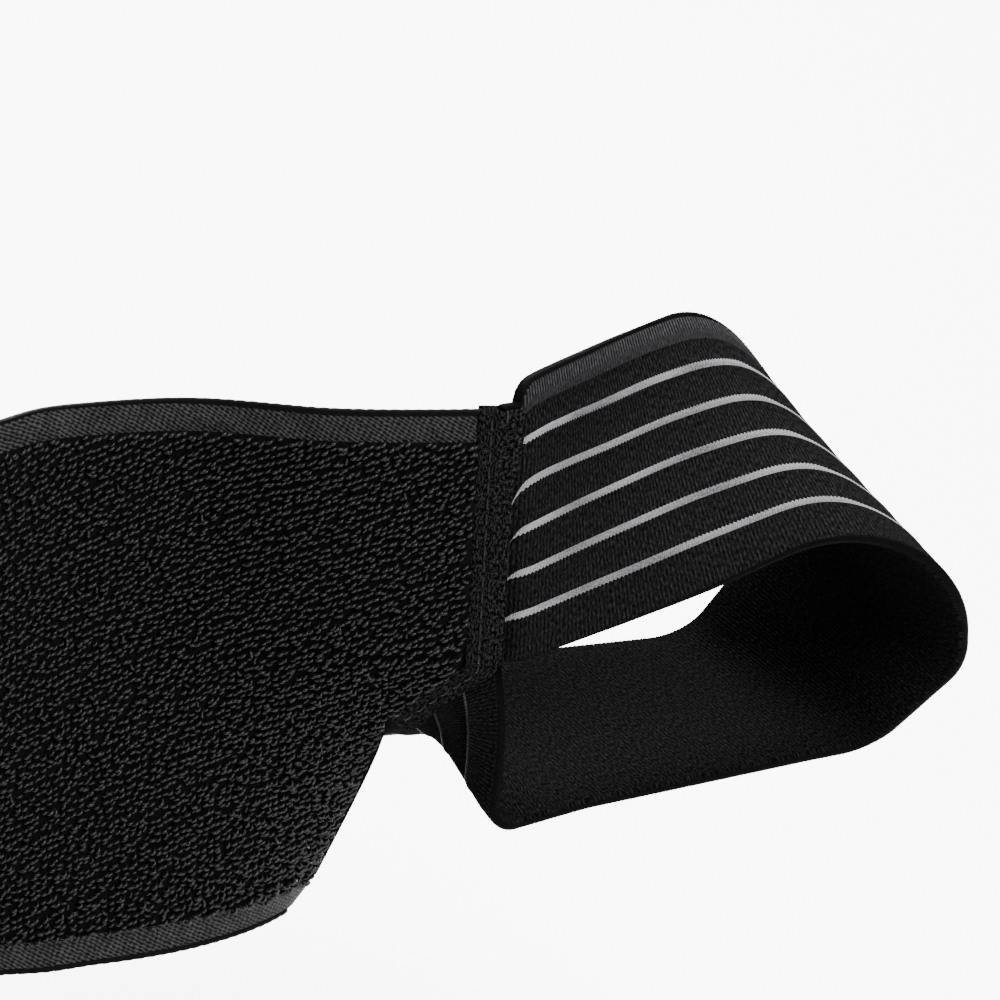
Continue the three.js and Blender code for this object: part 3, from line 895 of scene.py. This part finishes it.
def seam_strip():
    share = np.linspace(STRIP_BEGINS, 1, STRIP_STATIONS + 1)
    place, across = strip_line(share)
    offset, lift = np.array(STRIP_SECTION).T

    # The strip is wider where it covers the elastic, most of all at its two ends
    spread = STRIP_WIDER * (1 - smoothstep(share, *STRIP_WIDER_ENDS))
    spread = spread + STRIP_WIDE_TOP * (1 - smoothstep(share, *STRIP_TOP_ENDS))
    spread = spread + STRIP_WIDE_TAIL * smoothstep(share, *STRIP_TAIL_BEGINS)
    widen = 1 + (offset < -1) * spread[:, None]
    flat = place[:, None] + across[:, None] * (offset * widen)[..., None]
    lumps = sum(size * np.sin(share * rate + start) for size, rate, start in STRIP_LUMPS)
    lifts = np.where(lift > 0, lift + lumps[:, None] * lift, lift)
    sections = panel_point(flat[..., 0], flat[..., 1], lifts)
    points, faces, _ = swept(sections)
    length = path_length(place)[:, None]
    uv = np.stack([np.broadcast_to(offset, lifts.shape), np.broadcast_to(length, lifts.shape)], axis=-1)
    strip = piece("seam_strip_knit", points, faces, [LOOKS["strip"]], None, uv.reshape(-1, 2))
    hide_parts("seam_strip")
    return strip


def seam_sewing():
    """A row of stitches down the strip's ridge."""
    place, across = strip_line(np.linspace(0.02, 0.98, 120))
    run, drop = (place + across * RIDGE_OFFSET).T
    lift = np.full(len(run), RIDGE_LIFT)
    return panel_stitches("seam_stitches_ridge", run, drop, lift, "binding", "seam_thread")


def sole_sewing():
    """Two rows of stitches through the sole end of the elastic, seen on its inner face."""
    over = np.linspace(0.04, 0.96, 90)
    sewn = []
    for number, back in enumerate(SOLE_SEWN, 1):
        share = np.full(over.shape, 1 - back / LOOP_LENGTH)
        inner = np.full(over.shape, -ELASTIC_THICKNESS - RIB_RISE / 2)
        places = loop_point(share, over, inner)
        out = -loop_frame(share, over)[2]
        sewn.append(stitches(f"sole_stitches_{number}", places, out, "elastic"))
    return sewn


# Hook patch

def patch_outline(inset, points=24):
    """Runs and drops round the patch, a rectangle with round corners, drawn in by an inset."""
    radius = HOOK_CORNER - inset
    half = np.array([HOOK_LENGTH, HOOK_WIDTH]) / 2 - HOOK_CORNER
    angles = np.linspace(0, math.pi / 2, points)
    corner = np.stack([np.cos(angles), np.sin(angles)], axis=-1) * radius
    ring = []
    for quarter in range(4):
        turn = np.array([[0, -1], [1, 0]])
        spun = corner @ np.linalg.matrix_power(turn, quarter).T
        signs = np.sign(np.linalg.matrix_power(turn, quarter) @ np.ones(2))
        ring.append(spun + half * signs)
    return np.concatenate(ring) + np.array(HOOK_MIDDLE)


def hook_patch():
    top = -(PANEL_BACK + GAP)
    layers = [(0.0, top), (0.0, top - HOOK_THICKNESS * 0.6), (0.35, top - HOOK_THICKNESS)]
    layers += [(inset, top - HOOK_THICKNESS) for inset in HOOK_RINGS]
    outlines = np.stack([patch_outline(inset) for inset, _ in layers])
    lifts = np.broadcast_to([[lift] for _, lift in layers], outlines.shape[:2])
    points, faces, _ = swept(panel_point(outlines[..., 0], outlines[..., 1], lifts))
    flat = outlines.reshape(-1, 2)
    patch = piece("hook_patch_tape", points, faces, [LOOKS["hook_base"]], None, flat)
    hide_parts("hook_patch")

    border = patch_outline(HOOK_SEWN)
    border = np.concatenate([border, border[:1]])
    lift = np.full(len(border), top - HOOK_THICKNESS)
    panel_stitches("hook_patch_stitches", border[:, 0], border[:, 1], lift, "hook")
    return patch


def hooks(random):
    """Rows of small bent hooks over the patch, inside its stitched border."""
    half = np.array([HOOK_LENGTH, HOOK_WIDTH]) / 2 - HOOK_BORDER
    run, drop = np.meshgrid(*(np.arange(-side, side, HOOK_PITCH) for side in half))
    run = (run + random.normal(0, HOOK_STRAY, run.shape)).ravel() + HOOK_MIDDLE[0]
    drop = (drop + random.normal(0, HOOK_STRAY, drop.shape)).ravel() + HOOK_MIDDLE[1]
    along, up, face = panel_frame(run, drop)
    ways = np.where(random.random(run.shape) < 0.5, 1, -1)
    bent = np.array(HOOK_SHAPE)
    foot = panel_point(run, drop, np.full(run.shape, -(PANEL_BACK + GAP + HOOK_THICKNESS)))
    centres = (foot[:, None] + along[:, None] * (bent[:, 0] * ways[:, None])[..., None]
               - face[:, None] * bent[:, 1][:, None])
    sides = np.broadcast_to(up[:, None], centres.shape)
    points, faces = tubes(centres, sides, HOOK_YARN)
    return piece("hook_nibs", points, faces, [LOOKS["hook_nib"]])


def free_end_sewing():
    """A row of stitches that holds the turned free end."""
    drop = np.linspace(FREE_END_CLEAR, PANEL_WIDTH - FREE_END_CLEAR, 200)
    run = free_end(drop) - FREE_END_SEWN
    return panel_stitches("free_end_stitches", run, drop, np.full(len(drop), -PANEL_BACK), "pile")


# Floor, light and camera

def area_light(name, place, target, size, power):
    data = bpy.data.lights.new(name, "AREA")
    data.shape = "DISK"
    data.size = size
    data.energy = power
    made = bpy.data.objects.new(name, data)
    made.location = place
    way = np.array(target) - np.array(place)
    tilt = math.acos(-way[2] / np.linalg.norm(way))
    made.rotation_euler = (tilt, 0, math.atan2(way[0], -way[1]) + math.pi)
    bpy.context.collection.objects.link(made)


def studio():
    mesh = bpy.data.meshes.new("floor")
    reach = FLOOR_REACH * MM
    low = -FLOOR_DROP * MM
    corners = [(-reach, -reach, low), (reach, -reach, low), (reach, reach, low), (-reach, reach, low)]
    mesh.from_pydata(corners, [], [(0, 1, 2, 3)])
    pale = Look("floor_pale", 0.9, 0.1)
    shade = pale.noise(pale.place(), 0.002, 1.0)
    pale.colour(shade, (0.86, 0.86, 0.86), (0.9, 0.9, 0.9))
    mesh.materials.append(pale.material)
    floor = bpy.data.objects.new("floor", mesh)
    bpy.context.collection.objects.link(floor)

    world = bpy.data.worlds.new("studio")
    world.use_nodes = True
    world.node_tree.nodes["Background"].inputs["Color"].default_value = (1, 1, 1, 1)
    world.node_tree.nodes["Background"].inputs["Strength"].default_value = AMBIENT
    bpy.context.scene.world = world
    for light in LIGHTS:
        area_light(*light)


def camera():
    data = bpy.data.cameras.new("camera")
    data.sensor_width = SENSOR
    frame_width = FRAME_PIXELS / PIXELS_PER_MM
    data.lens = SENSOR * CAMERA_DISTANCE / frame_width
    data.clip_end = 100
    made = bpy.data.objects.new("camera", data)
    rise = (SEAM_PIXEL_Y - FRAME_PIXELS / 2) / PIXELS_PER_MM / math.cos(VIEW_ELEVATION)
    target = np.array([SEAM_X, SEAM_Y, SEAM_PIXEL_Z + rise])
    away = np.array([0, -math.cos(VIEW_ELEVATION), math.sin(VIEW_ELEVATION)])
    made.location = (target + away * CAMERA_DISTANCE) * MM
    made.rotation_euler = (math.pi / 2 - VIEW_ELEVATION, 0, 0)
    bpy.context.collection.objects.link(made)
    bpy.context.scene.camera = made


def dress():
    random = np.random.default_rng(SEED)
    camera()
    studio()
    band = elastic_band()
    panel = panel_base()
    edges = rolled_edges()
    loops = pile_loops(random)
    seam_strip()
    strip_thread = seam_sewing()
    sole_thread = sole_sewing()
    hook_patch()
    hooks(random)
    end_thread = free_end_sewing()


dress()
